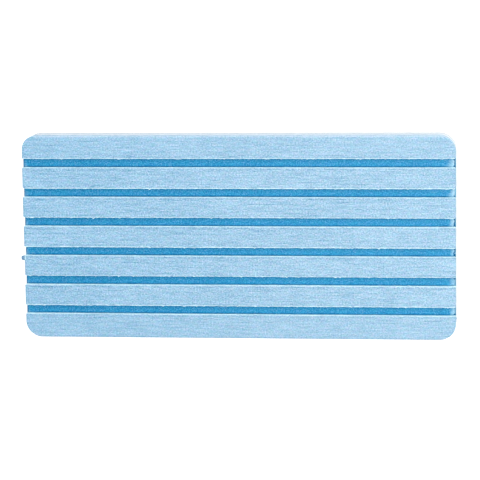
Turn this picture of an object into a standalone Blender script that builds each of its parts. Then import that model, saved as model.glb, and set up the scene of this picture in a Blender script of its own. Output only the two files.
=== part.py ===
"""Cushioned sanding board for model making, hand held, with two working faces.

The board is a glued lamination, cut to a rounded rectangle. From the rear up:

    rear_abrasive_sheet        coated abrasive over the whole rear face
    rear_foam_pad              thick soft backing
    rear_tape                  double-sided tape
    core_plate                 thin stiff blue plate, the spine of the board
    front_tape_1..7            tape under each land
    front_foam_strip_1..7      thin firm backing of each land
    front_abrasive_strip_1..7  light blue fine abrasive, the grooved working face

Six dust channels run the whole length of the front face, open at both ends.
They reach down to the core plate, so every land is its own stack of three strips.

Frame: origin at the centre of the rear face, +X along the channels, +Y across
the board, +Z out of the grooved face. Strips are numbered from the +Y edge (1)
to the -Y edge (7). All lengths are in metres.
"""

import math

import bmesh
import bpy

MM = 0.001

# ---- plan ----
LENGTH = 100.0 * MM          # along X
WIDTH = 47.0 * MM            # along Y
CORNER_RADIUS = 3.60 * MM
CORNER_STEPS = 14            # facets per rounded corner

CHANNEL_COUNT = 6
CHANNEL_WIDTH = 1.91 * MM
CHANNEL_PITCH = 6.84 * MM

# ---- layer thicknesses ----
ABRASIVE = 0.35 * MM         # grit, resin and backing paper
REAR_FOAM = 4.45 * MM
TAPE = 0.12 * MM
CORE = 0.60 * MM
FRONT_FOAM = 0.71 * MM
GLUE_LINE = 0.05 * MM        # clearance between neighbouring layers

# ---- rounded rims ----
ABRASIVE_EDGE = 0.10 * MM    # worn outer rim of the rear sheet and of each front strip
CORE_EDGE = 0.12 * MM        # broken upper edge of the core plate
EDGE_SEGMENTS = 3
RIM_TOLERANCE = 1e-7         # how far in Z a vertex may lie from the rim it belongs to
SHARP_ANGLE = math.radians(32)

# Linear RGB colour and roughness of each layer.
FINISHES = {
    "front_abrasive": ((0.395, 0.625, 0.830), 0.72),
    "front_foam": ((0.620, 0.755, 0.865), 0.85),
    "tape": ((0.800, 0.830, 0.850), 0.45),
    "core": ((0.045, 0.320, 0.610), 0.42),
    "rear_foam": ((0.640, 0.765, 0.870), 0.88),
    "rear_abrasive": ((0.290, 0.470, 0.640), 0.80),
}


def stack_layers(*thicknesses):
    """The (bottom, top) Z of each layer, laid on one another with a glue line between."""
    spans, z = [], 0.0
    for thickness in thicknesses:
        spans.append((z, z + thickness))
        z += thickness + GLUE_LINE
    return spans


(
    Z_REAR_ABRASIVE,
    Z_REAR_FOAM,
    Z_REAR_TAPE,
    Z_CORE,
    Z_FRONT_TAPE,
    Z_FRONT_FOAM,
    Z_FRONT_ABRASIVE,
) = stack_layers(ABRASIVE, REAR_FOAM, TAPE, CORE, TAPE, FRONT_FOAM, ABRASIVE)


def clear_scene():
    for obj in list(bpy.data.objects):
        bpy.data.objects.remove(obj, do_unlink=True)


def make_material(name, finish):
    """A Principled material in the given finish; every piece has its own."""
    colour, roughness = FINISHES[finish]
    material = bpy.data.materials.new(name)
    material.use_nodes = True
    shader = material.node_tree.nodes["Principled BSDF"]
    shader.inputs["Base Color"].default_value = (*colour, 1.0)
    shader.inputs["Roughness"].default_value = roughness
    shader.inputs["Metallic"].default_value = 0.0
    material.diffuse_color = (*colour, 1.0)
    return material


def corner_arc(centre_x, centre_y, start_angle):
    """A quarter circle of the corner radius, anticlockwise from the start angle."""
    angles = [
        start_angle + (math.pi / 2) * step / CORNER_STEPS
        for step in range(CORNER_STEPS + 1)
    ]
    return [
        (centre_x + CORNER_RADIUS * math.cos(angle), centre_y + CORNER_RADIUS * math.sin(angle))
        for angle in angles
    ]


def plan_outline(y_low, y_high, round_low, round_high):
    """A full-length plan between two Y lines, anticlockwise from the -X end of the low one.

    The two corners on each line are either rounded or square.
    """
    x_end = LENGTH / 2
    x_arc = x_end - CORNER_RADIUS
    if round_low:
        y_arc = y_low + CORNER_RADIUS
        low_side = corner_arc(-x_arc, y_arc, math.pi) + corner_arc(x_arc, y_arc, 1.5 * math.pi)
    else:
        low_side = [(-x_end, y_low), (x_end, y_low)]
    if round_high:
        y_arc = y_high - CORNER_RADIUS
        high_side = corner_arc(x_arc, y_arc, 0.0) + corner_arc(-x_arc, y_arc, 0.5 * math.pi)
    else:
        high_side = [(x_end, y_high), (-x_end, y_high)]
    return low_side + high_side


def round_rim(bm, rim_z, edge_width):
    """Round the edges that lie at one height."""
    rim = [
        edge
        for edge in bm.edges
        if all(abs(vert.co.z - rim_z) < RIM_TOLERANCE for vert in edge.verts)
    ]
    bmesh.ops.bevel(
        bm,
        geom=rim,
        offset=edge_width,
        offset_type="OFFSET",
        segments=EDGE_SEGMENTS,
        profile=0.5,
        affect="EDGES",
        clamp_overlap=True,
    )


def add_layer(root, name, finish, plan, z_span, top_edge=0.0, bottom_edge=0.0):
    """One closed piece: the plan extruded about its mid-height origin, rims rounded."""
    z_low, z_high = z_span
    z_mid = (z_low + z_high) / 2
    bm = bmesh.new()
    base = bm.faces.new([bm.verts.new((x, y, z_low - z_mid)) for x, y in plan])
    extruded = bmesh.ops.extrude_face_region(bm, geom=[base])["geom"]
    top_verts = [item for item in extruded if isinstance(item, bmesh.types.BMVert)]
    bmesh.ops.translate(bm, verts=top_verts, vec=(0.0, 0.0, z_high - z_low))
    bmesh.ops.recalc_face_normals(bm, faces=bm.faces[:])
    if top_edge > 0.0:
        round_rim(bm, z_high - z_mid, top_edge)
    if bottom_edge > 0.0:
        round_rim(bm, z_low - z_mid, bottom_edge)

    mesh = bpy.data.meshes.new(name)
    bm.to_mesh(mesh)
    bm.free()
    mesh.shade_smooth()
    mesh.set_sharp_from_angle(angle=SHARP_ANGLE)
    mesh.materials.append(make_material(name, finish))
    piece = bpy.data.objects.new(name, mesh)
    piece.location = (0.0, 0.0, z_mid)
    piece.parent = root
    bpy.context.scene.collection.objects.link(piece)


def land_spans():
    """(low Y, high Y) of each land, from the +Y edge to the -Y edge."""
    spans, y_high = [], WIDTH / 2
    for i in range(CHANNEL_COUNT):
        channel_y = ((CHANNEL_COUNT - 1) / 2 - i) * CHANNEL_PITCH
        spans.append((channel_y + CHANNEL_WIDTH / 2, y_high))
        y_high = channel_y - CHANNEL_WIDTH / 2
    spans.append((-WIDTH / 2, y_high))
    return spans


def add_full_layers(root):
    """The rear layers and the core plate, which cover the whole plan."""
    plan = plan_outline(-WIDTH / 2, WIDTH / 2, round_low=True, round_high=True)
    add_layer(root, "rear_abrasive_sheet", "rear_abrasive", plan, Z_REAR_ABRASIVE,
              bottom_edge=ABRASIVE_EDGE)
    add_layer(root, "rear_foam_pad", "rear_foam", plan, Z_REAR_FOAM)
    add_layer(root, "rear_tape", "tape", plan, Z_REAR_TAPE)
    add_layer(root, "core_plate", "core", plan, Z_CORE, top_edge=CORE_EDGE)


def add_lands(root):
    """The strips between the channels; only the board's own corners are rounded."""
    spans = land_spans()
    for number, (y_low, y_high) in enumerate(spans, start=1):
        plan = plan_outline(
            y_low, y_high, round_low=number == len(spans), round_high=number == 1
        )
        add_layer(root, f"front_tape_{number}", "tape", plan, Z_FRONT_TAPE)
        add_layer(root, f"front_foam_strip_{number}", "front_foam", plan, Z_FRONT_FOAM)
        add_layer(root, f"front_abrasive_strip_{number}", "front_abrasive", plan,
                  Z_FRONT_ABRASIVE, top_edge=ABRASIVE_EDGE)


def build():
    clear_scene()
    root = bpy.data.objects.new("sanding_board", None)
    bpy.context.scene.collection.objects.link(root)
    add_full_layers(root)
    add_lands(root)


build()
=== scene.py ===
"""A sanding board lying on its plain rear face, its grooved working face up.

Seven lands of abrasive on foam stand on a core plate, with a dust channel between each
two; a foam pad and a coarser abrasive sheet lie behind the core.  Every layer is one
fine closed mesh with a procedural finish.

Lengths are in millimetres unless a name says otherwise; meshes are made in metres.
+X runs along the channels, +Y across them, +Z out of the working face.  Lands and
channels are counted from the +Y side.
"""

import math

import bpy
import numpy as np
from mathutils import Matrix, Vector


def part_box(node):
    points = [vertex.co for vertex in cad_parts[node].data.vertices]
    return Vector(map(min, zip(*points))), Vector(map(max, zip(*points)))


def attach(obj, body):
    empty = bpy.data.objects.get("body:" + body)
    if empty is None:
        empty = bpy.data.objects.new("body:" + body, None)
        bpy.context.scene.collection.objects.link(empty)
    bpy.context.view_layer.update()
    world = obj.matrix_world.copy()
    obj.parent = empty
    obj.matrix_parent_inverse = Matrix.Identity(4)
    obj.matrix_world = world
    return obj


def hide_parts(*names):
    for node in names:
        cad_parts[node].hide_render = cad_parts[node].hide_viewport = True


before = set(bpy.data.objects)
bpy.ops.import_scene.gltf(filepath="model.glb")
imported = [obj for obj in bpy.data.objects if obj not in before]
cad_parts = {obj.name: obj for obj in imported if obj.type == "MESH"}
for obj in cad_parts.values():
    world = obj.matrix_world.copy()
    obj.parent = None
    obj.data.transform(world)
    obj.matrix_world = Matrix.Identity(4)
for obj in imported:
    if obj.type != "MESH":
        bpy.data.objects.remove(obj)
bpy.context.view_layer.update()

MM = 0.001

# ---------------------------------------------------------------------------
# Driving dimensions, read from the frame
# ---------------------------------------------------------------------------


def span(node):
    low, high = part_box(node)
    return np.array(low) / MM, np.array(high) / MM


LANDS = sum(1 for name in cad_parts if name.startswith("front_abrasive_strip_"))
BOX = {name: span(name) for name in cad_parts}
HALF_LENGTH = float(BOX["core_plate"][1][0])
HALF_WIDTH = float(BOX["core_plate"][1][1])
TOP = float(BOX["front_abrasive_strip_1"][1][2])
BOARD_CORNER = 3.60
LAND_CORNER = 0.32          # broken corner of each land where a channel opens


def extent(node):
    """A layer's y_low, y_high, z_low and z_high."""
    low, high = BOX[node]
    return float(low[1]), float(high[1]), float(low[2]), float(high[2])


def land_y(land):
    return extent(f"front_abrasive_strip_{land}")[:2]


CHANNELS = [(land_y(land + 1)[1], land_y(land)[0]) for land in range(1, LANDS)]

# ---------------------------------------------------------------------------
# Noise from hashed lattices, the same on every run, and falloff curves
# ---------------------------------------------------------------------------


def lattice(x, y, z, seed):
    """A number from 0 to 1 for each whole-numbered lattice point."""
    with np.errstate(over="ignore"):
        hashed = (
            x.astype(np.int64) * 374761393
            + y.astype(np.int64) * 668265263
            + z.astype(np.int64) * 2147483647
            + seed * 1274126177
        ).astype(np.uint64)
        hashed ^= hashed >> np.uint64(33)
        for multiplier in (0xFF51AFD7ED558CCD, 0xC4CEB9FE1A85EC53):
            hashed *= np.uint64(multiplier)
            hashed ^= hashed >> np.uint64(33)
    return (hashed >> np.uint64(11)).astype(np.float64) / float(1 << 53)


def noise(x, y, z, seed=0):
    """Smooth value noise from -1 to 1."""
    x, y, z = np.broadcast_arrays(x, y, z)
    cell_x, cell_y, cell_z = np.floor(x), np.floor(y), np.floor(z)
    mix_x, mix_y, mix_z = (
        t * t * t * (t * (t * 6 - 15) + 10) for t in (x - cell_x, y - cell_y, z - cell_z)
    )
    out = 0.0
    for dx in (0, 1):
        for dy in (0, 1):
            for dz in (0, 1):
                weight = (
                    (mix_x if dx else 1 - mix_x)
                    * (mix_y if dy else 1 - mix_y)
                    * (mix_z if dz else 1 - mix_z)
                )
                out = out + weight * lattice(cell_x + dx, cell_y + dy, cell_z + dz, seed)
    return out * 2 - 1


def fractal(x, y, z, seed=0, octaves=3, gain=0.55):
    total, amplitude, norm = 0.0, 1.0, 0.0
    for k in range(octaves):
        finer = 2.03**k
        total = total + amplitude * noise(x * finer, y * finer, z * finer, seed + 17 * k)
        norm += amplitude
        amplitude *= gain
    return total / norm


def cells(x, y, z, seed=0):
    """Distance to the nearest scattered point, and that point's own number."""
    x, y, z = np.broadcast_arrays(x, y, z)
    floor_x, floor_y, floor_z = np.floor(x), np.floor(y), np.floor(z)
    best = np.full(x.shape, 9.0)
    own = np.zeros(x.shape)
    for dx in (-1, 0, 1):
        for dy in (-1, 0, 1):
            for dz in (-1, 0, 1):
                cell = floor_x + dx, floor_y + dy, floor_z + dz
                point_x, point_y, point_z = (
                    cell[k] + lattice(*cell, seed + 1 + k) for k in range(3)
                )
                away = np.sqrt((x - point_x) ** 2 + (y - point_y) ** 2 + (z - point_z) ** 2)
                near = away < best
                best = np.where(near, away, best)
                own = np.where(near, lattice(*cell, seed + 4), own)
    return best, own


def unit(value):
    return np.clip(value, 0, 1)


def decay(distance, length):
    return np.exp(-distance / length)


def bell(distance, width, power=2):
    """1 at no distance, falling on both sides; a higher power has a flatter top."""
    return np.exp(-((distance / width) ** power))


# ---------------------------------------------------------------------------
# Layers: a plan with rounded corners, built as rings and a fine grid
# ---------------------------------------------------------------------------


class Plan:
    """The outline of a layer and the grid that fills it.

    Rows run across the board (Y) and follow the corner arcs, columns run along it (X)
    and are given from -1 to 1.  Any ring is the outline moved inwards by an inset.
    """

    def __init__(self, y_low, y_high, corner_low, corner_high, columns, middle, arc_low, arc_high):
        self.y_low, self.y_high = y_low, y_high
        self.corner_low, self.corner_high = corner_low, corner_high
        self.columns, self.middle = columns, middle
        self.low_arc = np.linspace(-math.pi / 2, 0, arc_low + 1)[:-1]
        self.high_arc = np.linspace(0, math.pi / 2, arc_high + 1)[1:]
        self.row_count = len(self.low_arc) + len(middle) + len(self.high_arc)
        self.column_count = len(columns)

    def rows(self, inset):
        """Y and half length of each row."""
        low, high = self.corner_low, self.corner_high
        y_of_low = self.y_low + low + (low - inset) * np.sin(self.low_arc)
        x_of_low = HALF_LENGTH - low + (low - inset) * np.cos(self.low_arc)
        y_of_high = self.y_high - high + (high - inset) * np.sin(self.high_arc)
        x_of_high = HALF_LENGTH - high + (high - inset) * np.cos(self.high_arc)
        x_of_middle = np.full(len(self.middle), HALF_LENGTH - inset)
        return (
            np.concatenate([y_of_low, self.middle, y_of_high]),
            np.concatenate([x_of_low, x_of_middle, x_of_high]),
        )

    def grid(self, inset):
        y, half = self.rows(inset)
        return half[:, None] * self.columns[None, :], np.repeat(y[:, None], self.column_count, 1)

    def border(self, grid):
        """The border of a grid array, anticlockwise seen from above."""
        return np.concatenate([grid[0, :], grid[1:, -1], grid[-1, -2::-1], grid[-2:0:-1, 0]])

    def ring(self, inset, z):
        x, y = (self.border(grid) for grid in self.grid(inset))
        return x, y, np.full(x.shape, z)


def even_columns(step, end=0.0, end_step=None):
    """Columns from -1 to 1, finer within `end` mm of both ends."""
    if not end:
        return np.linspace(-1, 1, int(round(2 * HALF_LENGTH / step)) + 1)
    inner = HALF_LENGTH - end
    fine = np.linspace(inner, HALF_LENGTH, int(round(end / end_step)) + 1)
    mid = np.linspace(-inner, inner, int(round(2 * inner / step)) + 1)
    return np.concatenate([-fine[::-1], mid[1:-1], fine]) / HALF_LENGTH


def layer_plan(y_low, y_high, land, columns, row_step, board_arc, land_arc=0):
    """Plan of a layer in one land, or of one as wide as the board where land is 0.

    board_arc and land_arc are the segments in a board corner and in a land corner.
    """
    corner_low, arc_low = (
        (BOARD_CORNER, board_arc) if land in (0, LANDS) else (LAND_CORNER, land_arc)
    )
    corner_high, arc_high = (
        (BOARD_CORNER, board_arc) if land in (0, 1) else (LAND_CORNER, land_arc)
    )
    start, end = y_low + corner_low, y_high - corner_high
    middle = np.linspace(start, end, max(2, int(round((end - start) / row_step)) + 1))
    return Plan(y_low, y_high, corner_low, corner_high, columns, middle, arc_low, arc_high)


# The four corners were rounded by hand, so no two are quite alike: how much tighter
# each is than BOARD_CORNER, by the signs of its X and Y.
CORNER_TRIM = {(-1, 1): 0.52, (1, 1): -0.29, (1, -1): 0.15, (-1, -1): -0.10}


def trimmed(x, y):
    """Moves points near each corner so that its rounding is as tight as it was cut."""
    centre_x, centre_y = HALF_LENGTH - BOARD_CORNER, HALF_WIDTH - BOARD_CORNER
    past_x, past_y = np.abs(x) - centre_x, np.abs(y) - centre_y
    angle = np.arctan2(np.maximum(past_y, 0), np.maximum(past_x, 0))
    cosine, sine = np.cos(angle), np.sin(angle)
    straight = BOARD_CORNER / np.maximum(cosine, sine)
    grow = np.ones_like(x)
    for (sign_x, sign_y), tighter in CORNER_TRIM.items():
        here = (past_x > 0) & (past_y > 0) & (np.sign(x) == sign_x) & (np.sign(y) == sign_y)
        along = tighter * (cosine + sine)
        root = np.maximum(along**2 - 2 * tighter**2 + (BOARD_CORNER - tighter) ** 2, 0)
        edge = np.minimum(along + np.sqrt(root), straight)
        grow = np.where(here, edge / BOARD_CORNER, grow)
    return (
        np.where(grow == 1, x, np.sign(x) * (centre_x + past_x * grow)),
        np.where(grow == 1, y, np.sign(y) * (centre_y + past_y * grow)),
    )


def grid_quads(index, flip):
    near_left, near_right = index[:-1, :-1], index[:-1, 1:]
    far_right, far_left = index[1:, 1:], index[1:, :-1]
    order = (near_left, near_right, far_right, far_left)
    if flip:
        order = (near_left, far_left, far_right, near_right)
    return np.stack([corner.ravel() for corner in order], 1)


def bridge(upper, lower):
    """Quads between two rings."""
    return np.stack([upper, lower, np.roll(lower, -1), np.roll(upper, -1)], 1)


def cap(plan, border, facing_up):
    """Closes a border, out of sight: narrow quads across it and one face at each end."""
    columns, rows = plan.column_count, plan.row_count
    far_right = (columns - 1) + (rows - 1)
    far_left = far_right + columns - 1
    low = border[:columns]
    high = border[far_right : far_left + 1][::-1]
    right = border[columns - 1 : far_right + 1]
    left = np.concatenate([border[:1], border[far_left:][::-1]])
    quads = np.stack([low[1:-2], high[1:-2], high[2:-1], low[2:-1]], 1)
    ends = [[low[1], *left, high[1]], [high[-2], *right[::-1], low[-2]]]
    if facing_up:
        quads, ends = quads[:, ::-1], [end[::-1] for end in ends]
    return quads, [[int(index) for index in end] for end in ends]


def assemble(name, plan, top, rings, shape, bottom_grid=None):
    """One closed mesh.

    top is None, or (x, y, z) arrays of the upper grid, whose border is the first
    ring.  rings are the (x, y, z) borders below it, down to the lowest, or down to
    the border of bottom_grid.  shape(x, y, z) moves points and returns them with
    the named point attributes.
    """
    blocks, faces, caps = [], [], []
    count = 0
    previous = None
    size = plan.row_count * plan.column_count
    ids = np.arange(size).reshape(plan.row_count, plan.column_count)

    def close(border, facing_up):
        quads, ends = cap(plan, border, facing_up)
        faces.append(quads)
        caps.extend(ends)

    if top is not None:
        blocks.append(np.stack([axis.ravel() for axis in top], 1))
        faces.append(grid_quads(ids, False))
        previous = plan.border(ids)
        count = size
    for ring in rings:
        blocks.append(np.stack(ring, 1))
        now = count + np.arange(len(ring[0]))
        count += len(now)
        if previous is None:
            close(now, True)
        else:
            faces.append(bridge(previous, now))
        previous = now
    if bottom_grid is not None:
        blocks.append(np.stack([axis.ravel() for axis in bottom_grid], 1))
        low_ids = count + ids
        faces.append(grid_quads(low_ids, True))
        faces.append(bridge(previous, plan.border(low_ids)))
    else:
        close(previous, False)

    x, y, z, values = shape(*np.concatenate(blocks).T)
    x, y = trimmed(x, y)
    points = np.stack([x, y, z], 1) * MM
    quads = np.concatenate(faces)
    sizes = np.concatenate([np.full(len(quads), 4), [len(end) for end in caps]]).astype(np.int32)
    corners = np.concatenate([quads.ravel()] + [np.array(end) for end in caps]).astype(np.int32)
    starts = np.concatenate([[0], np.cumsum(sizes)[:-1]]).astype(np.int32)

    mesh = bpy.data.meshes.new(name)
    mesh.vertices.add(len(points))
    mesh.vertices.foreach_set("co", points.astype(np.float32).ravel())
    mesh.loops.add(len(corners))
    mesh.loops.foreach_set("vertex_index", corners)
    mesh.polygons.add(len(sizes))
    mesh.polygons.foreach_set("loop_start", starts)
    mesh.polygons.foreach_set("loop_total", sizes)
    mesh.update(calc_edges=True)
    mesh.validate()
    for key, data in values.items():
        layer = mesh.attributes.new(key, "FLOAT", "POINT")
        layer.data.foreach_set("value", unit(data).astype(np.float32))
    mesh.shade_smooth()
    mesh.set_sharp_from_angle(angle=math.radians(50))
    piece = bpy.data.objects.new(name, mesh)
    bpy.context.scene.collection.objects.link(piece)
    return piece


def rim_rings(plan, radius, steps, z_edge, up=True):
    """Rings of a rounded rim, from the flat to the wall."""
    out = []
    for k in range(1, steps + 1):
        angle = math.pi / 2 * k / steps
        drop = radius * (1 - math.cos(angle))
        z = z_edge - drop if up else z_edge + drop
        out.append(plan.ring(radius * (1 - math.sin(angle)), z))
    return out


def wall_rings(plan, z_from, z_to, steps, first=1):
    """Rings down a wall; first=0 includes the one at z_from."""
    return [
        plan.ring(0.0, z_from + (z_to - z_from) * k / steps) for k in range(first, steps + 1)
    ]


def flat_grid(plan, inset, z):
    x, y = plan.grid(inset)
    return x, y, np.full(x.shape, z)


def rounded_sheet(plan, radius, rim_steps, z_high, z_low):
    """Top grid and rings of a sheet with a rounded upper rim."""
    rings = rim_rings(plan, radius, rim_steps, z_high)
    rings += wall_rings(plan, z_high - radius, z_low, steps=4)
    return flat_grid(plan, radius, z_high), rings


def corner_circles(plan):
    """Radius, Y of the centre and Y direction of the low and of the high corners."""
    return (
        (plan.corner_low, plan.y_low + plan.corner_low, -1),
        (plan.corner_high, plan.y_high - plan.corner_high, 1),
    )


def edge_distance(x, y, plan):
    """How far inside the outline a point is; 0 on it, negative outside."""
    half_x = np.abs(x)
    inset = np.minimum(HALF_LENGTH - half_x, np.minimum(y - plan.y_low, plan.y_high - y))
    for radius, centre_y, sign in corner_circles(plan):
        centre_x = HALF_LENGTH - radius
        inside = (half_x > centre_x) & (sign * (y - centre_y) > 0)
        rounded = radius - np.hypot(half_x - centre_x, y - centre_y)
        inset = np.where(inside, rounded, inset)
    return inset


def outward(x, y, plan):
    """The outline's outward direction at points on it."""
    half_x, sign_x = np.abs(x), np.sign(x)
    out_x = np.where(half_x > HALF_LENGTH - 1e-6, sign_x, 0.0)
    out_y = np.where(y < plan.y_low + 1e-6, -1.0, np.where(y > plan.y_high - 1e-6, 1.0, 0.0))
    for radius, centre_y, sign in corner_circles(plan):
        centre_x = HALF_LENGTH - radius
        arc = (half_x > centre_x - 1e-9) & (sign * (y - centre_y) > -1e-9)
        length = np.maximum(np.hypot(half_x - centre_x, y - centre_y), 1e-9)
        out_x = np.where(arc, sign_x * (half_x - centre_x) / length, out_x)
        out_y = np.where(arc, (y - centre_y) / length, out_y)
    return out_x, out_y


# ---------------------------------------------------------------------------
# Materials
# ---------------------------------------------------------------------------


class Nodes:
    """A material's node tree; textures are laid out in millimetres."""

    def __init__(self, name):
        self.material = bpy.data.materials.new(name)
        self.material.use_nodes = True
        self.tree = self.material.node_tree
        self.tree.nodes.clear()
        output = self.add("ShaderNodeOutputMaterial")
        self.shader = self.add("ShaderNodeBsdfPrincipled")
        self.link(self.shader.outputs["BSDF"], output.inputs["Surface"])
        coords = self.add("ShaderNodeTexCoord")
        self.coords = self.vector_math("SCALE", coords.outputs["Object"], scale=1 / MM)

    def add(self, kind):
        return self.tree.nodes.new(kind)

    def link(self, source, target):
        self.tree.links.new(source, target)

    def put(self, socket, value):
        if isinstance(value, bpy.types.NodeSocket):
            self.link(value, socket)
        elif isinstance(value, (tuple, list)) and len(value) == 3 and socket.type == "RGBA":
            socket.default_value = (*value, 1.0)
        else:
            socket.default_value = value

    def vector_math(self, operation, first, second=None, scale=None, output=0):
        node = self.add("ShaderNodeVectorMath")
        node.operation = operation
        self.put(node.inputs[0], first)
        if second is not None:
            self.put(node.inputs[1], second)
        if scale is not None:
            node.inputs["Scale"].default_value = scale
        return node.outputs[output]

    def math(self, operation, first, second=None, clamp=False):
        node = self.add("ShaderNodeMath")
        node.operation = operation
        node.use_clamp = clamp
        self.put(node.inputs[0], first)
        if second is not None:
            self.put(node.inputs[1], second)
        return node.outputs[0]

    def plus(self, first, second, clamp=False):
        return self.math("ADD", first, second, clamp)

    def minus(self, first, second, clamp=False):
        return self.math("SUBTRACT", first, second, clamp)

    def times(self, first, second):
        return self.math("MULTIPLY", first, second)

    def stretch(self, x, y, z):
        """The millimetre coordinates, scaled on each axis."""
        return self.vector_math("MULTIPLY", self.coords, (x, y, z))

    def noise(self, vector, scale=1.0, detail=2.0, rough=0.5):
        node = self.add("ShaderNodeTexNoise")
        self.put(node.inputs["Vector"], vector)
        node.inputs["Scale"].default_value = scale
        node.inputs["Detail"].default_value = detail
        node.inputs["Roughness"].default_value = rough
        return node.outputs["Fac"]

    def voronoi(self, scale, feature="F1", output="Distance"):
        node = self.add("ShaderNodeTexVoronoi")
        node.feature = feature
        self.put(node.inputs["Vector"], self.stretch(1, 1, 1))
        node.inputs["Scale"].default_value = scale
        return node.outputs[output]

    def remap(self, value, start=0.3, end=0.7, low=0.0, high=1.0, smooth=False):
        """Takes start..end to low..high; noise lies mostly between 0.3 and 0.7."""
        node = self.add("ShaderNodeMapRange")
        node.interpolation_type = "SMOOTHSTEP" if smooth else "LINEAR"
        self.put(node.inputs["Value"], value)
        node.inputs["From Min"].default_value = start
        node.inputs["From Max"].default_value = end
        node.inputs["To Min"].default_value = low
        node.inputs["To Max"].default_value = high
        return node.outputs["Result"]

    def swing(self, value, amount):
        """Noise spread to either side of zero."""
        return self.remap(value, low=-amount, high=amount)

    def mix(self, factor, base, over, blend="MIX"):
        node = self.add("ShaderNodeMix")
        node.data_type = "RGBA"
        node.blend_type = blend
        for index, value in ((0, factor), (6, base), (7, over)):
            self.put(node.inputs[index], value)
        return node.outputs[2]

    def tint(self, colour, by):
        return self.mix(1.0, colour, by, "MULTIPLY")

    def attribute(self, name):
        node = self.add("ShaderNodeAttribute")
        node.attribute_name = name
        return node.outputs["Fac"]

    def axis(self, which):
        node = self.add("ShaderNodeSeparateXYZ")
        self.link(self.coords, node.inputs[0])
        return node.outputs[which]

    def bump(self, height, distance, strength):
        node = self.add("ShaderNodeBump")
        node.inputs["Strength"].default_value = strength
        node.inputs["Distance"].default_value = distance * MM
        self.put(node.inputs["Height"], height)
        return node.outputs["Normal"]

    def mottled(self, colour, warm, cool):
        """Shifts the hue a little from place to place, as pigment never mixes quite evenly."""
        green = 0.035    # how far green moves against red
        apart = (31.7, 12.3, 5.1)    # keeps the two patterns unlike each other
        one = self.noise(self.stretch(0.85, 1.7, 1.0), detail=1.0)
        shifted = self.vector_math("ADD", self.stretch(0.8, 1.5, 1.0), apart)
        two = self.noise(shifted, detail=1.0)
        reds = self.mix(
            self.remap(one), base=(1 - warm, 1 + green, 1.0), over=(1 + warm, 1 - green, 1.0)
        )
        blues = self.mix(
            self.remap(two),
            base=(1.0, 1 + 0.2 * cool, 1 - cool),
            over=(1.0, 1 - 0.2 * cool, 1 + cool),
        )
        return self.tint(self.tint(colour, reds), blues)

    def finish(self, colour, roughness, normal=None, specular=0.5):
        self.put(self.shader.inputs["Base Color"], colour)
        self.put(self.shader.inputs["Roughness"], roughness)
        self.shader.inputs["Specular IOR Level"].default_value = specular
        if normal is not None:
            self.link(normal, self.shader.inputs["Normal"])
        return self.material


def front_abrasive_material():
    """Fine resin-bonded grit, pale blue, lapped along the board."""
    mat = Nodes("front_abrasive")
    hair = mat.noise(mat.stretch(0.38, 9.0, 1.0), detail=1.0)
    line = mat.noise(mat.stretch(0.33, 1.9, 1.0), detail=0.0)
    long_line = mat.noise(mat.stretch(0.11, 2.3, 1.0), detail=0.0)
    grain = mat.noise(mat.stretch(0.95, 1.15, 1), scale=3.0, rough=0.62)
    cloud = mat.noise(mat.stretch(0.06, 0.12, 0.1))
    tone = mat.plus(mat.swing(hair, amount=0.08), mat.swing(grain, amount=0.335))
    tone = mat.plus(tone, mat.swing(line, amount=0.06))
    tone = mat.plus(tone, mat.swing(long_line, amount=0.045))
    tone = mat.plus(tone, mat.remap(cloud, start=0.35, end=0.65, low=-0.025, high=0.025))
    # a few deeper strokes, a centimetre or so long
    stroke = mat.noise(mat.stretch(0.10, 4.2, 1.0), detail=0.0)
    tone = mat.minus(tone, mat.remap(stroke, start=0.62, end=0.74, high=0.16, smooth=True))
    # a faint broken line beside each channel
    tone = mat.minus(tone, mat.times(mat.attribute("crease"), 0.16))
    # contrast falls towards the two long edges, either side of Y = 2
    off_centre = mat.math("ABSOLUTE", mat.minus(mat.axis("Y"), 2.0))
    tone = mat.times(tone, mat.remap(off_centre, start=15.0, end=23.0, low=1.0, high=0.78))
    tone = mat.plus(tone, 0.5, clamp=True)
    colour = mat.mix(tone, base=(0.000, 0.168, 0.340), over=(0.440, 0.636, 0.832))
    colour = mat.mottled(colour, warm=0.115, cool=0.05)
    # painted light: bluer towards the -X end, paler towards the +X end where the lamps fall
    along = mat.remap(mat.axis("X"), start=-46, end=6)
    colour = mat.tint(colour, mat.mix(along, base=(1.0, 1.036, 1.046), over=(1.0, 1.0, 1.0)))
    # painted highlight along the channel edges, greyer on the +Y rim
    wear_and_highlight = mat.times(mat.attribute("wear_and_highlight"), mat.remap(grain, low=0.78))
    far_rim = mat.remap(mat.axis("Y"), start=HALF_WIDTH - 1.0, end=HALF_WIDTH - 0.6)
    pale_highlight = mat.mix(far_rim, base=(0.68, 0.94, 1.0), over=(0.60, 0.70, 0.82))
    colour = mat.mix(wear_and_highlight, colour, pale_highlight)
    # the cut edge: grit above, backing paper below, painted paler and bluer on the channel walls
    # than outside, a painted highlight
    below = mat.remap(mat.axis("Z"), start=TOP - 0.16, end=TOP - 0.22, smooth=True)
    paper = mat.times(below, 0.75)
    outside = mat.attribute("outside")
    backing = mat.mix(outside, base=(0.66, 0.95, 1.0), over=(0.60, 0.61, 0.705))
    colour = mat.mix(paper, colour, backing)
    # painted shade on the rims and round the resin bead
    colour = mat.mix(mat.attribute("edge_shade"), colour, over=(0.066, 0.190, 0.345))
    # relief: each pattern times its share
    height = mat.plus(mat.times(hair, 0.6), mat.times(grain, 0.8))
    fine = mat.voronoi(scale=9.0)
    height = mat.plus(height, mat.times(fine, 0.35))
    rough = mat.remap(grain, low=0.42, high=0.54)
    normal = mat.bump(height, distance=0.030, strength=0.45)
    return mat.finish(colour, rough, normal, specular=0.80)


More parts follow.
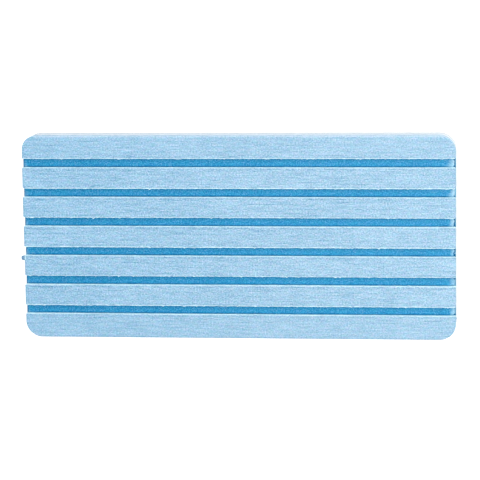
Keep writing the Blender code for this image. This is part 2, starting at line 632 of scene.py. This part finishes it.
def foam_material(name, pale, deep, outside_colour, cell):
    """Cut closed-cell foam: thin bright cell walls round open bubbles."""
    mat = Nodes(name)
    walls = mat.voronoi(scale=cell, feature="DISTANCE_TO_EDGE")
    bubble = mat.voronoi(scale=cell * 2.3)
    mottling = mat.noise(mat.stretch(1, 1, 1), scale=0.35, detail=3.0, rough=0.6)
    bright = mat.remap(walls, start=0.0, end=0.16, low=0.34, high=0.0)
    tone = mat.plus(bright, mat.remap(mottling, low=0.28, high=0.66))
    tone = mat.minus(tone, mat.times(mat.attribute("pit"), 0.55), clamp=True)
    colour = mat.mix(tone, deep, pale)
    # outer walls take outside_colour; the front foam's channel walls are painted paler and bluer, a
    # painted highlight
    colour = mat.mix(mat.times(mat.attribute("outside"), 0.92), colour, outside_colour)
    # painted shade at the foot of the channel walls
    colour = mat.mix(mat.attribute("wall_foot_shade"), colour, over=(0.030, 0.300, 0.520))
    # relief: raised cell walls, and the bubbles at half height
    ridges = mat.remap(walls, start=0.0, end=0.2, low=1.0, high=0.0)
    height = mat.plus(ridges, mat.times(bubble, 0.5))
    rough = mat.remap(mottling, low=0.78, high=0.92)
    return mat.finish(colour, rough, mat.bump(height, distance=0.035, strength=0.5), specular=0.25)


def core_material():
    """Calendered polystyrene sheet, dyed through, with pale scuffs and painted highlights where
    tools leave the channel.
    """
    mat = Nodes("core")
    grain = mat.noise(mat.stretch(1, 1.1, 1), scale=3.2, rough=0.6)
    drag = mat.noise(mat.stretch(0.45, 2.6, 1.0), detail=3.0, rough=0.6)
    cloud = mat.noise(mat.stretch(0.09, 0.2, 0.1))
    tone = mat.plus(mat.swing(grain, amount=0.40), mat.swing(drag, amount=0.07))
    tone = mat.plus(tone, mat.swing(cloud, amount=0.03))
    tone = mat.plus(tone, 0.5, clamp=True)
    # only the lighter tones carry any red
    red = mat.math("MAXIMUM", mat.minus(mat.times(tone, 0.150), 0.058), 0.0)
    colour = mat.mix(tone, base=(0.0, 0.104, 0.286), over=(0.0, 0.364, 0.630))
    reddened = mat.mix(red, base=(0.0, 0.0, 0.0), over=(1.0, 0.0, 0.0))
    colour = mat.mottled(mat.mix(1.0, colour, reddened, "ADD"), warm=0.35, cool=0.03)
    # painted light: a little lighter towards the +X end, where the lamps fall
    along = mat.remap(mat.axis("X"), start=-46, end=46)
    colour = mat.tint(colour, mat.mix(along, base=(1.0, 1.0, 1.012), over=(0.97, 1.056, 1.066)))
    dust = mat.times(mat.attribute("dust"), mat.remap(grain, start=0.25, end=0.6, low=0.5))
    colour = mat.mix(dust, colour, over=(0.30, 0.47, 0.58))
    # pale scuff with a painted highlight at the channel mouths
    scuff_and_highlight = mat.times(mat.attribute("scuff_and_highlight"), mat.remap(grain, end=0.65, low=0.72))
    colour = mat.mix(scuff_and_highlight, colour, over=(0.50, 0.70, 0.82))
    # painted shade at the foot of the channel walls and a painted dark lip at the mouths
    colour = mat.mix(mat.attribute("shade"), colour, over=(0.000, 0.088, 0.230))
    # relief: each pattern times its share
    height = mat.plus(mat.times(grain, 1.0), mat.times(drag, 0.5))
    rough = mat.remap(grain, low=0.36, high=0.52)
    mat.finish(colour, rough, mat.bump(height, distance=0.020, strength=0.5))
    shine = mat.remap(mat.attribute("shade"), start=0.0, end=0.8, low=0.19, high=0.03)
    mat.put(mat.shader.inputs["Specular IOR Level"], shine)
    return mat.material


def rear_abrasive_material():
    """Coarser grit on the plain side, in a deeper slate blue."""
    mat = Nodes("rear_abrasive")
    grit = mat.voronoi(scale=3.4)
    own = mat.voronoi(scale=3.4, output="Color")
    split = mat.add("ShaderNodeSeparateColor")
    mat.link(own, split.inputs[0])
    cloud = mat.noise(mat.stretch(0.08, 0.08, 0.08), detail=3.0, rough=0.55)
    fine = mat.noise(mat.stretch(1, 1, 1), scale=5.0, rough=0.6)
    each = mat.remap(split.outputs[0], start=0, end=1, low=-0.30, high=0.30)
    tone = mat.plus(each, mat.remap(cloud, low=0.38, high=0.62))
    tone = mat.plus(tone, mat.swing(fine, amount=0.14), clamp=True)
    colour = mat.mix(tone, base=(0.060, 0.125, 0.195), over=(0.165, 0.270, 0.365))
    colour = mat.mix(mat.attribute("wear_and_highlight"), colour, over=(0.34, 0.43, 0.50))
    # backing paper above the grit
    paper = mat.times(mat.remap(mat.axis("Z"), start=0.17, end=0.23, smooth=True), 0.8)
    colour = mat.mix(paper, colour, over=(0.22, 0.34, 0.46))
    # relief: rounded grains under a finer texture
    grains = mat.remap(grit, start=0.0, end=0.5, low=1.0, high=0.0)
    height = mat.plus(grains, mat.times(fine, 0.4))
    rough = mat.remap(fine, low=0.6, high=0.85)
    return mat.finish(colour, rough, mat.bump(height, distance=0.05, strength=0.7), specular=0.4)


def tape_material():
    """Thin clear acrylic tape, blue with what it lies on, seen as a line at the cut edges."""
    mat = Nodes("tape")
    ripple = mat.noise(mat.stretch(0.9, 0.9, 6.0), detail=3.0, rough=0.6)
    colour = mat.mix(mat.remap(ripple), base=(0.05, 0.27, 0.46), over=(0.10, 0.36, 0.54))
    rough = mat.remap(ripple, low=0.30, high=0.46)
    return mat.finish(colour, rough, mat.bump(ripple, distance=0.02, strength=0.5))


MATERIALS = {
    "front_abrasive": front_abrasive_material(),
    # the front foam's pale and deep colours are painted light on the channel walls, brighter than
    # its outer walls
    "front_foam": foam_material(
        "front_foam",
        pale=(0.62, 0.93, 1.0), deep=(0.52, 0.81, 0.96), outside_colour=(0.60, 0.65, 0.735), cell=2.6,
    ),
    "rear_foam": foam_material(
        "rear_foam",
        pale=(0.66, 0.715, 0.775), deep=(0.49, 0.57, 0.66), outside_colour=(0.50, 0.565, 0.635), cell=2.2,
    ),
    "core": core_material(),
    "rear_abrasive": rear_abrasive_material(),
    "tape": tape_material(),
}


def place(piece, slot, node):
    piece.data.materials.append(MATERIALS[slot])
    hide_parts(node)
    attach(piece, "root")


# ---------------------------------------------------------------------------
# How the lands were cut
# ---------------------------------------------------------------------------

# For each land: how far the cutter strayed into it at its -Y and at its +Y edge, and
# how far it stands out past the nominal length at its -X and at its +X end.
CUT_LOW = (0.105, 0.012, 0.115, 0.025, 0.140, 0.045, -0.160)
CUT_HIGH = (0.0, -0.035, 0.0, -0.055, -0.025, -0.075, -0.060)
OUT_LEFT = (0.100, 0.100, 0.115, 0.065, 0.010, 0.020, 0.005)
OUT_RIGHT = (-0.045, -0.070, -0.012, 0.005, 0.022, 0.020, 0.060)

# Marks of the knife along a cut edge: direction out of the edge, range of heights,
# range of widths, and how fast a mark dies away down the wall.
SPIKE = (1, (0.03, 0.20), (0.08, 0.26), 0.16)
NICK = (-1, (0.03, 0.10), (0.12, 0.40), 0.2)


def end_shift(x, land):
    """How far the end of a land is moved along X, dying away inside it."""
    near = decay(np.maximum(HALF_LENGTH - np.abs(x), 0), 0.5)
    return np.where(x > 0, OUT_RIGHT[land - 1], -OUT_LEFT[land - 1]) * near


def stray_under(land, out_y):
    """How far the walls under a land's abrasive are cut in; the board's -Y edge runs true."""
    low = CUT_LOW[land - 1] if land < LANDS else 0.0
    return np.where(out_y < 0, low, CUT_HIGH[land - 1]) * np.abs(out_y)


def ragged(x, drop, seed, spikes, nicks):
    """How far a knife-cut edge stands out of its line, along X and down its wall."""
    out = 0.030 * fractal(x / 0.34, drop / 0.35, seed * 1.7, seed)
    out = out + 0.008 * noise(x / 2.3, 0.0, 3.1, seed + 5)
    rng = np.random.default_rng(seed)
    for count, (sign, heights, widths, depth) in ((spikes, SPIKE), (nicks, NICK)):
        for at, height, width in zip(
            rng.uniform(-HALF_LENGTH, HALF_LENGTH, count),
            rng.uniform(*heights, count),
            rng.uniform(*widths, count),
        ):
            near = np.abs(x - at) < 4 * width
            out[near] += sign * height * bell(x[near] - at, width) * decay(drop[near], depth)
    return out


# ---------------------------------------------------------------------------
# Working face: seven lands of abrasive
# ---------------------------------------------------------------------------

BEAD_LAND = 5               # the land with a bead of resin on its -X end


def lapped(x, y, seed):
    """Height of the grit: fine grain, with shallow lapping lines along X."""
    lines = fractal(x / 3.4, y / 0.24, seed * 3.3, seed, octaves=3, gain=0.6)
    grain = fractal(x / 0.34, y / 0.30, seed * 1.1, seed + 9, octaves=2, gain=0.6)
    swell = noise(x / 9.0, y / 2.2, 0.5, seed + 21)
    return 0.0075 * lines + 0.0075 * grain + 0.004 * swell


def resin_bead(x, y, drop, y_high):
    """A bead of squeezed-out resin on the -X end: its reach, dip, the painted shade round it and the
    painted highlight at its neck.
    """
    across = (y - (y_high - 0.60)) / 0.58
    body = np.sqrt(unit(1 - across**6))
    near = decay(np.maximum(HALF_LENGTH + x, 0), 0.20)
    reach = 0.88 * body * near * np.clip(1 - drop / 0.8, 0.4, 1)
    rim = np.maximum(np.abs(across) ** 3, unit((near - 0.75) / 0.25))
    clear = bell(across - 0.12, 0.30)
    edge_shade = unit((near - 0.25) / 0.10) * unit(body * 3) * (0.95 - 0.40 * clear + 0.05 * rim)
    neck_highlight = bell(HALF_LENGTH + x - 0.32, 0.05) * body
    return reach, 0.09 * body * near * rim, edge_shade * (1 - 0.9 * neck_highlight), neck_highlight


def front_abrasive(land):
    node = f"front_abrasive_strip_{land}"
    y_low, y_high, z_low, z_high = extent(node)
    columns = even_columns(0.17, end=0.6, end_step=0.06)
    plan = layer_plan(y_low, y_high, land, columns, row_step=0.085, board_arc=40, land_arc=6)
    radius = 0.11
    top, rings = rounded_sheet(plan, radius, 4, z_high, z_low - 0.03)
    outer_low, outer_high = land == LANDS, land == 1

    def creased(x, from_low, from_high, flat):
        """A broken line beside each channel."""
        crease = np.zeros_like(x)
        if not outer_high:
            broken = unit(0.62 + 0.75 * noise(x / 1.3, 0 * x, 0.5, 540 + land))
            crease = broken * bell(from_high - 0.46, 0.13) * flat
        if not outer_low:
            broken = unit(0.45 + 0.6 * noise(x / 1.6, 0 * x, 2.5, 550 + land))
            crease = crease + 0.6 * broken * bell(from_low - 0.46, 0.13) * flat
        return crease

    def rim_shading(x, from_low, from_high, drop):
        """Painted shade on the rims: both ends and the two long edges."""
        low_wall = drop > 0.12
        held = np.where(x > 0, 0.10 + 0.035 * land, 0.24)
        ends = (held + 0.10 * low_wall) * bell(np.maximum(HALF_LENGTH - np.abs(x), 0), 0.17)
        sides = 0.30 * bell(from_low, 0.20) if outer_low else 0.0
        if outer_high:
            sides = 0.22 * bell(from_high, 0.20) * low_wall
        return np.maximum(ends, sides)

    def wear_and_light(x, y, from_low, from_high):
        """Painted highlight next to the channels, a little more on the -Y side of a land."""
        band = 0.185 + 0.085 * noise(x / 0.55, 0 * x, 1.5, 520 + land)
        width, amount = (0.36, 0.38) if outer_high else (0.13, 0.82)
        high = bell(from_high, width, power=4) * amount
        low = bell(from_low, band, power=4) * (0.0 if outer_low else 1.0)
        patchy = 0.90 + 0.25 * noise(x / 0.8, y / 0.8, 2.0, 500 + land)
        return unit(np.maximum(high, low) * patchy)

    def shape(x, y, z):
        inset = np.maximum(edge_distance(x, y, plan), 0.0)
        drop = np.maximum(z_high - z, 0.0)
        from_low, from_high = np.maximum(y - y_low, 0), np.maximum(y_high - y, 0)
        flat = unit(1 - drop / radius)
        relief = lapped(x, y, 40 + land) * flat
        # the knife drags the skin down a little next to each cut
        relief = relief - 0.016 * bell(inset, 0.22) * flat
        crease = creased(x, from_low, from_high, flat)
        relief = relief - 0.007 * crease
        # the cutter never runs quite true: each channel is a hair wide or narrow
        low_cut = ragged(x, drop, 100 + land, 0 if outer_low else 70, 26) - CUT_LOW[land - 1]
        high_cut = ragged(x, drop, 200 + land, 0 if outer_high else 34, 22) - CUT_HIGH[land - 1]
        new_y = y - low_cut * decay(from_low, 0.24) * (0.6 if outer_low else 1)
        new_y = new_y + high_cut * decay(from_high, 0.24) * (0.5 if outer_high else 1)
        from_end = np.maximum(HALF_LENGTH - np.abs(x), 0)
        fray = 0.014 * fractal(y / 0.5, drop / 0.3, np.sign(x) * 4.0, 300 + land)
        new_x = x + np.sign(x) * (fray - 0.01) * decay(from_end, 0.2) + end_shift(x, land)
        edge_shade = np.zeros_like(x)
        # painted highlight next to the channels
        wear_and_highlight = wear_and_light(x, y, from_low, from_high)
        if land == BEAD_LAND:
            reach, dip, edge_shade, neck_highlight = resin_bead(x, y, drop, y_high)
            new_x = new_x - reach
            relief = relief - dip * flat
            # a painted highlight at the bead's neck
            wear_and_highlight = np.maximum(wear_and_highlight, 0.85 * neck_highlight)
        if outer_low:
            # a small bulge on the +X end
            bulge = 0.20 * bell(y - (y_high - 0.50), 0.28)
            new_x = new_x + bulge * decay(np.maximum(HALF_LENGTH - x, 0), 0.12)
        # painted shade on the rims
        edge_shade = np.maximum(edge_shade, rim_shading(x, from_low, from_high, drop))
        out_x, out_y = outward(x, y, plan)
        on_side = np.abs(out_y) * (np.abs(y) > HALF_WIDTH - BOARD_CORNER)
        outside = np.maximum(np.abs(out_x) ** 2, on_side)
        values = {"wear_and_highlight": wear_and_highlight, "edge_shade": edge_shade, "outside": outside, "crease": crease}
        return new_x, new_y, z + relief, values

    piece = assemble(f"abrasive_land_{land}", plan, top, rings, shape)
    place(piece, "front_abrasive", node)


# ---------------------------------------------------------------------------
# Foam under each land, and the thick pad behind the core
# ---------------------------------------------------------------------------


def bubbles(x, y, z, size, seed):
    """Open bubbles of cut foam: 0 on the skin, 1 at the deepest of a bubble."""
    away, own = cells(x / size, y / size, z / size, seed)
    reach = 0.42 + 0.30 * own
    return unit(1 - (away / reach) ** 2) * (0.45 + 0.55 * own)


def foam_strip(land):
    node = f"front_foam_strip_{land}"
    y_low, y_high, z_low, z_high = extent(node)
    # let into the layers above and below
    z_low, z_high = z_low - 0.02, z_high + 0.015
    columns = even_columns(0.15)
    plan = layer_plan(y_low, y_high, land, columns, row_step=0.13, board_arc=36, land_arc=4)
    rings = wall_rings(plan, z_high, z_low, steps=7, first=0)

    def shape(x, y, z):
        depth = (z_high - z) / (z_high - z_low)
        pit = bubbles(x, y, z, 0.40, 600 + land) * unit(6 * depth * (1 - depth) + 0.15)
        sink = 0.020 + 0.030 * np.sin(math.pi * depth) + 0.060 * pit
        sink = sink + 0.012 * noise(x / 0.9, y / 0.9, z / 0.5, 610 + land)
        out_x, out_y = outward(x, y, plan)
        on_wall = edge_distance(x, y, plan) < 0.02
        rough = 0.030 * fractal(x / 0.36, y / 0.36, z / 0.6, 620 + land)
        stray = stray_under(land, out_y) + rough * np.abs(out_y) * (depth > 0.4)
        sink = np.where(on_wall, sink + stray, 0.0)
        # painted shade at the foot of each channel wall
        inner = (np.abs(y) < HALF_WIDTH - 0.5).astype(float)
        shade_start = 0.80 + 0.14 * noise(x / 0.4, y / 0.4, 1.0, 630 + land)
        wall_foot_shade = np.clip((depth - shade_start) / 0.20, 0, 0.70) * inner * np.abs(out_y) ** 3
        wall_foot_shade = wall_foot_shade * np.clip((HALF_LENGTH - np.abs(x)) / 2.5, 0.15, 1)
        outside = np.maximum(1 - inner, np.abs(out_x) ** 2) * on_wall
        wall_foot_shade = np.maximum(wall_foot_shade, 0.06 * outside) * on_wall
        values = {"pit": pit * on_wall, "wall_foot_shade": wall_foot_shade, "outside": outside}
        return x - out_x * sink + end_shift(x, land), y - out_y * sink, z, values

    piece = assemble(f"foam_land_{land}", plan, None, rings, shape)
    place(piece, "front_foam", node)


def rear_foam():
    _, _, z_low, z_high = extent("rear_foam_pad")
    z_low, z_high = z_low - 0.02, z_high + 0.02
    columns = even_columns(0.145)
    plan = layer_plan(-HALF_WIDTH, HALF_WIDTH, 0, columns, row_step=0.145, board_arc=38)
    rings = wall_rings(plan, z_high, z_low, steps=31, first=0)

    def shape(x, y, z):
        depth = (z_high - z) / (z_high - z_low)
        pit = bubbles(x, y, z, 0.46, 700) * unit(10 * depth * (1 - depth))
        waist = 0.11 * np.sin(math.pi * depth) ** 0.8
        wave = 0.035 * noise(x / 7.0, y / 7.0, z / 3.0, 702)
        sink = 0.03 + waist + 0.085 * pit + wave * np.sin(math.pi * depth)
        out_x, out_y = outward(x, y, plan)
        # greyed at the two ends, where the board is pinched in the fingers
        held = out_x**4 * (0.72 + 0.22 * noise(x / 2.4, y / 2.4, z / 1.6, 704) - 0.25 * pit)
        values = {"pit": pit, "wall_foot_shade": 0.0 * pit, "outside": held}
        return x - out_x * sink, y - out_y * sink, z, values

    piece = assemble("foam_backing", plan, None, rings, shape)
    place(piece, "rear_foam", "rear_foam_pad")


# ---------------------------------------------------------------------------
# Tape: a line at each cut edge
# ---------------------------------------------------------------------------


def tape(node, land=0):
    """A layer of tape, cut with the layers round it; land is 0 behind the core."""
    y_low, y_high, z_low, z_high = extent(node)
    columns = even_columns(0.30)
    plan = layer_plan(y_low, y_high, land, columns, row_step=0.30, board_arc=24, land_arc=4)
    rings = wall_rings(plan, z_high, z_low, steps=3, first=0)

    def shape(x, y, z):
        depth = (z_high - z) / (z_high - z_low)
        out_x, out_y = outward(x, y, plan)
        stray, shift = 0.0, 0.0
        if land:
            stray = stray_under(land, out_y)
            shift = end_shift(x, land)
        # soft adhesive, pressed out a little between its two faces and picked at by the knife
        picked = 0.012 * fractal(x / 0.9, y / 0.9, z / 0.2, 640 + land, octaves=2)
        sink = 0.014 - 0.012 * np.sin(math.pi * depth) + picked
        return x - out_x * (sink + stray) + shift, y - out_y * (sink + stray), z, {}

    piece = assemble(f"tape_land_{land}" if land else "tape_rear", plan, None, rings, shape)
    place(piece, "tape", node)


# ---------------------------------------------------------------------------
# Core plate: the floor of every channel
# ---------------------------------------------------------------------------

# Pale scuff and painted highlight, and a painted dark lip, where tools leave each channel,
# from channel 1: how far the highlight runs in from the +X end on the -Y and on the +Y
# side, how pale it is, how far the painted shade spreads at the -Y and the +Y corner, how
# much of the painted dark lip is left between them, and how far the plate stops short
# of the lands at the +X and at the -X mouth.
MOUTH_SCUFF_AND_LIGHT = (
    (2.7, 1.5, 0.95, 1.00, 0.95, 0.80, 0.17, -0.05),
    (2.4, 1.1, 1.00, 0.75, 0.10, 0.05, 0.29, -0.03),
    (2.1, 1.5, 1.00, 0.95, 0.85, 0.95, 0.19, 0.03),
    (1.6, 1.3, 0.85, 1.00, 0.95, 1.00, 0.17, 0.06),
    (1.8, 1.5, 0.60, 0.20, 1.00, 0.40, 0.15, 0.05),
    (2.0, 1.5, 0.80, 1.00, 0.45, 0.45, 0.13, 0.02),
)


def core_rows():
    """Rows of the core's grid: fine in each channel, few where the lands cover it."""
    marks = [-HALF_WIDTH + BOARD_CORNER]
    for y_low, y_high in sorted(CHANNELS):
        marks += [y_low - 0.12, y_low, y_high, y_high + 0.12]
    marks.append(HALF_WIDTH - BOARD_CORNER)
    rows = []
    for start, end in zip(marks[:-1], marks[1:]):
        size = end - start
        steps = 16 if 1.5 < size < 2.2 else (1 if size < 0.2 else 3)
        rows.extend(np.linspace(start, end, steps + 1)[:-1])
    rows.append(marks[-1])
    return np.array(rows)


def channel_floors(x, y):
    """Where the channels are, and painted shade along the foot of their walls."""
    inside, foot_shade = np.zeros_like(x), np.zeros_like(x)
    for y_low, y_high in CHANNELS:
        inset = np.minimum(y - y_low, y_high - y)
        inside = np.maximum(inside, unit(inset / 0.08 + 0.6))
        here = (y > y_low - 0.3) & (y < y_high + 0.3)
        low_foot = np.where(here, bell(y - y_low - 0.06, 0.15), 0)
        high_foot = np.where(here, bell(y_high - y - 0.02, 0.10), 0)
        foot_shade = np.maximum(foot_shade, np.maximum(0.84 * low_foot, 0.25 * high_foot))
    return inside, foot_shade * (0.8 + 0.35 * noise(x / 1.1, y / 0.4, 1.0, 801))


def mouth_scuff_and_light(x, y, from_end):
    """Pale scuff with painted highlight, painted dark lip, droop and recess of the floor at both
    mouths of each channel.
    """
    mouth_scuff_and_highlight, line, droop, recess = (np.zeros_like(x) for _ in range(4))
    ragged_end = 1 + 0.22 * noise(x / 0.5, y / 0.4, 4.0, 806)
    left_lip = 0.58 + 0.30 * noise(y / 0.7, 0 * y, 1.0, 807)
    right = x > 0
    for (y_low, y_high), wear_and_light in zip(CHANNELS, MOUTH_SCUFF_AND_LIGHT):
        reach_low, reach_high, pale, corner_shade_low, corner_shade_high, lip, short_right, short_left = wear_and_light
        here = (y > y_low - 0.1) & (y < y_high + 0.1)
        across = unit((y - y_low) / (y_high - y_low))
        right_reach = reach_low + (reach_high - reach_low) * across
        reach = np.where(right, right_reach, 1.15 - 0.75 * across) * ragged_end
        closeness = unit(1 - from_end / reach)
        strength = np.where(right, pale, 0.62 * (1.1 - across) * pale)
        mouth_scuff_and_highlight = np.where(here, strength * closeness**1.25, mouth_scuff_and_highlight)
        droop = np.where(here, np.where(right, 0.22, 0.10) * closeness**2, droop)
        corner_shade = np.maximum(
            corner_shade_low * bell(across, 0.22, power=4), corner_shade_high * bell(1 - across, 0.22, power=4)
        )
        notch = lip**6 * bell(across - 0.36, 0.17) * right
        lip_width = np.where(right, 0.23 + 0.27 * corner_shade - 0.09 * notch, 0.26)
        dark = unit(1.9 - 1.3 * np.abs(from_end - 0.44 * notch) / lip_width)
        line = np.where(here, dark * np.where(right, np.maximum(lip, corner_shade), left_lip), line)
        recess = np.where(here, np.where(right, short_right, short_left), recess)
    return mouth_scuff_and_highlight, line, droop, recess


def core():
    _, _, z_low, z_high = extent("core_plate")
    plan = Plan(
        -HALF_WIDTH, HALF_WIDTH, BOARD_CORNER, BOARD_CORNER,
        even_columns(0.25, end=1.6, end_step=0.08), core_rows(), arc_low=22, arc_high=22,
    )
    radius = 0.12
    top, rings = rounded_sheet(plan, radius, 3, z_high, z_low - 0.02)

    def shape(x, y, z):
        inside, shade = channel_floors(x, y)
        on_top = unit((z - (z_high - radius)) / radius)
        floor = 0.008 * fractal(x / 0.36, y / 0.32, 1.0, 802)
        floor = floor + 0.004 * noise(x / 4.0, y / 0.35, 2.0, 803)
        speck, own = cells(x / 0.62, y / 0.62, 0.0 * x, 805)
        dust = np.where(own > 0.86, unit(1 - speck / 0.30), 0)
        from_end = HALF_LENGTH - np.abs(x)
        mouth_scuff_and_highlight, line, droop, recess = mouth_scuff_and_light(x, y, from_end)
        new_z = z + on_top * inside * (floor + 0.028 * dust - droop)
        new_x = x - np.sign(x) * recess * inside * decay(from_end, 0.30)
        # pale scuff with painted highlight at the mouths; the painted dark lip goes into the shade
        scuff_and_highlight = unit(mouth_scuff_and_highlight) * (1 - line)
        shade = np.maximum(shade * (1 - unit(1.3 * mouth_scuff_and_highlight)), line)
        outer_wall = (np.minimum(from_end, HALF_WIDTH - np.abs(y)) < 0.03) | (on_top < 0.5)
        return new_x, y, new_z, {
            "scuff_and_highlight": np.maximum(scuff_and_highlight * inside * on_top, 0.35 * outer_wall),
            "dust": dust * 0.45 * inside,
            "shade": np.where(inside > 0, shade, 0.0),
        }

    place(assemble("core_sheet", plan, top, rings, shape), "core", "core_plate")


# ---------------------------------------------------------------------------
# Rear face
# ---------------------------------------------------------------------------


def rear_abrasive():
    _, _, z_low, z_high = extent("rear_abrasive_sheet")
    columns = even_columns(0.30)
    plan = layer_plan(-HALF_WIDTH, HALF_WIDTH, 0, columns, row_step=0.30, board_arc=22)
    radius = 0.10
    rings = wall_rings(plan, z_high + 0.015, z_low + radius, steps=3, first=0)
    # the wall already ends with the rim's outermost ring
    rings += rim_rings(plan, radius, 3, z_low, up=False)[::-1][1:]

    def shape(x, y, z):
        lift = unit((z - z_low) / radius)
        away, own = cells(x / 0.55, y / 0.55, 0.0 * x, 900)
        grit = unit(1 - (away / 0.55) ** 2) * (0.4 + 0.6 * own)
        rough = 0.022 * grit + 0.008 * fractal(x / 0.8, y / 0.8, 3.0, 901, octaves=2)
        new_z = z + (1 - lift) * (0.030 - rough)
        out_x, out_y = outward(x, y, plan)
        fray = 0.012 * fractal(x / 0.6, y / 0.6, z / 0.3, 902, octaves=2)
        wall = (lift >= 1) | (z > z_low + radius * 0.5)
        sink = np.where(wall, 0.012 - fray, 0.0)
        inset = np.maximum(edge_distance(x, y, plan), 0)
        wear_and_highlight = 0.55 * bell(inset, 0.35) * (0.7 + 0.3 * noise(x / 1.2, y / 1.2, 0.0, 903))
        return x - out_x * sink, y - out_y * sink, new_z, {"wear_and_highlight": wear_and_highlight}

    bottom = flat_grid(plan, radius, z_low)
    piece = assemble("abrasive_rear", plan, None, rings, shape, bottom_grid=bottom)
    place(piece, "rear_abrasive", "rear_abrasive_sheet")


for number in range(1, LANDS + 1):
    front_abrasive(number)
    foam_strip(number)
    tape(f"front_tape_{number}", number)
core()
tape("rear_tape")
rear_foam()
rear_abrasive()

# ---------------------------------------------------------------------------
# Studio: white floor, soft light, camera.  Lamp places and sizes are in metres.
# ---------------------------------------------------------------------------

FLOOR_HALF_METRES = 4.0
FLOOR_DROP = 0.02           # keeps the floor clear of the board's rear face


def floor_material():
    """White paper on an opal light table, lit a little from below."""
    mat = Nodes("floor")
    paper = mat.noise(mat.stretch(1, 1, 1), scale=0.02)
    white = mat.mix(mat.remap(paper), base=(0.86, 0.86, 0.86), over=(0.88, 0.88, 0.88))
    mat.finish(white, roughness=0.9, specular=0.1)
    mat.shader.inputs["Emission Color"].default_value = (1.0, 1.0, 1.0, 1.0)
    # painted contact shadow: the glow dies away under the board's own edge
    inset = (HALF_LENGTH - BOARD_CORNER, HALF_WIDTH - BOARD_CORNER, 1.0)
    past = mat.vector_math("SUBTRACT", mat.vector_math("ABSOLUTE", mat.coords), inset)
    past = mat.vector_math("MAXIMUM", past, (0.0, 0.0, 0.0))
    past = mat.vector_math("MULTIPLY", past, (1.0, 1.0, 0.0))
    reach = mat.vector_math("LENGTH", past, output="Value")
    edge = {"start": BOARD_CORNER - 0.5, "end": BOARD_CORNER + 0.45}
    glow = mat.remap(reach, **edge, high=0.43, smooth=True)
    # painted light: the far floor glows brighter, so no horizon band shows
    far_glow = mat.remap(reach, start=60.0, end=400.0, high=0.25, smooth=True)
    glow = mat.plus(glow, far_glow)
    mat.put(mat.shader.inputs["Emission Strength"], glow)
    return mat.material


def studio_floor():
    mesh = bpy.data.meshes.new("floor")
    half = FLOOR_HALF_METRES
    corners = [(-half, -half, 0), (half, -half, 0), (half, half, 0), (-half, half, 0)]
    mesh.from_pydata(corners, [], [(0, 1, 2, 3)])
    floor = bpy.data.objects.new("floor", mesh)
    floor.location.z = -FLOOR_DROP * MM
    bpy.context.scene.collection.objects.link(floor)
    mesh.materials.append(floor_material())


def area_light(name, at, size, watts, tint=(1, 1, 1)):
    """A rectangular lamp aimed at the origin and hidden from the camera."""
    data = bpy.data.lights.new(name, "AREA")
    data.shape = "RECTANGLE"
    data.size, data.size_y = size
    data.energy = watts
    data.color = tint
    lamp = bpy.data.objects.new(name, data)
    lamp.location = at
    lamp.rotation_euler = (-Vector(at)).to_track_quat("-Z", "Y").to_euler()
    lamp.visible_camera = False
    bpy.context.scene.collection.objects.link(lamp)


def studio_world(seen_strength, light_strength):
    """White to the camera, a dimmer and slightly cool fill to everything else."""
    world = bpy.data.worlds.new("studio")
    world.use_nodes = True
    tree = world.node_tree
    tree.nodes.clear()
    output = tree.nodes.new("ShaderNodeOutputWorld")
    seen = tree.nodes.new("ShaderNodeBackground")
    seen.inputs["Color"].default_value = (1, 1, 1, 1)
    seen.inputs["Strength"].default_value = seen_strength
    light = tree.nodes.new("ShaderNodeBackground")
    light.inputs["Color"].default_value = (0.985, 0.993, 1.0, 1)
    light.inputs["Strength"].default_value = light_strength
    path = tree.nodes.new("ShaderNodeLightPath")
    mix = tree.nodes.new("ShaderNodeMixShader")
    tree.links.new(path.outputs["Is Camera Ray"], mix.inputs[0])
    tree.links.new(light.outputs[0], mix.inputs[1])
    tree.links.new(seen.outputs[0], mix.inputs[2])
    tree.links.new(mix.outputs[0], output.inputs[0])
    bpy.context.scene.world = world


def camera():
    """Above the board, a little to its +X and +Y side, with a long lens."""
    # radians about X, Y and Z, and the board's origin as the camera sees it
    tilt, turn, roll = 0.14387, -0.11577, 0.0127
    origin_seen = Vector((0.29958, 1.58929, -573.29617))
    look = (
        Matrix.Rotation(tilt, 3, "X") @ Matrix.Rotation(turn, 3, "Y") @ Matrix.Rotation(roll, 3, "Z")
    )
    data = bpy.data.cameras.new("camera")
    data.sensor_width = 36.0
    data.lens = 184.62045
    data.clip_start, data.clip_end = 0.01, 20.0
    cam = bpy.data.objects.new("camera", data)
    back = look.transposed()
    cam.matrix_world = Matrix.Translation(back @ (-origin_seen) * MM) @ back.to_4x4()
    bpy.context.scene.collection.objects.link(cam)
    bpy.context.scene.camera = cam


studio_floor()
studio_world(seen_strength=1.05, light_strength=0.60)
area_light("key", at=(0.27, 0.08, 0.42), size=(0.24, 0.24), watts=1.50, tint=(1.0, 0.92, 0.74))
area_light("veil", at=(0.09, -0.05, 0.66), size=(0.20, 0.20), watts=1.10)
area_light("back", at=(-0.05, 0.36, 0.48), size=(0.60, 0.16), watts=0.86, tint=(0.90, 0.93, 1.0))
camera()

view = bpy.context.scene.view_settings
view.view_transform = "Standard"
view.look = "None"
view.exposure = 0.0
view.gamma = 1.0
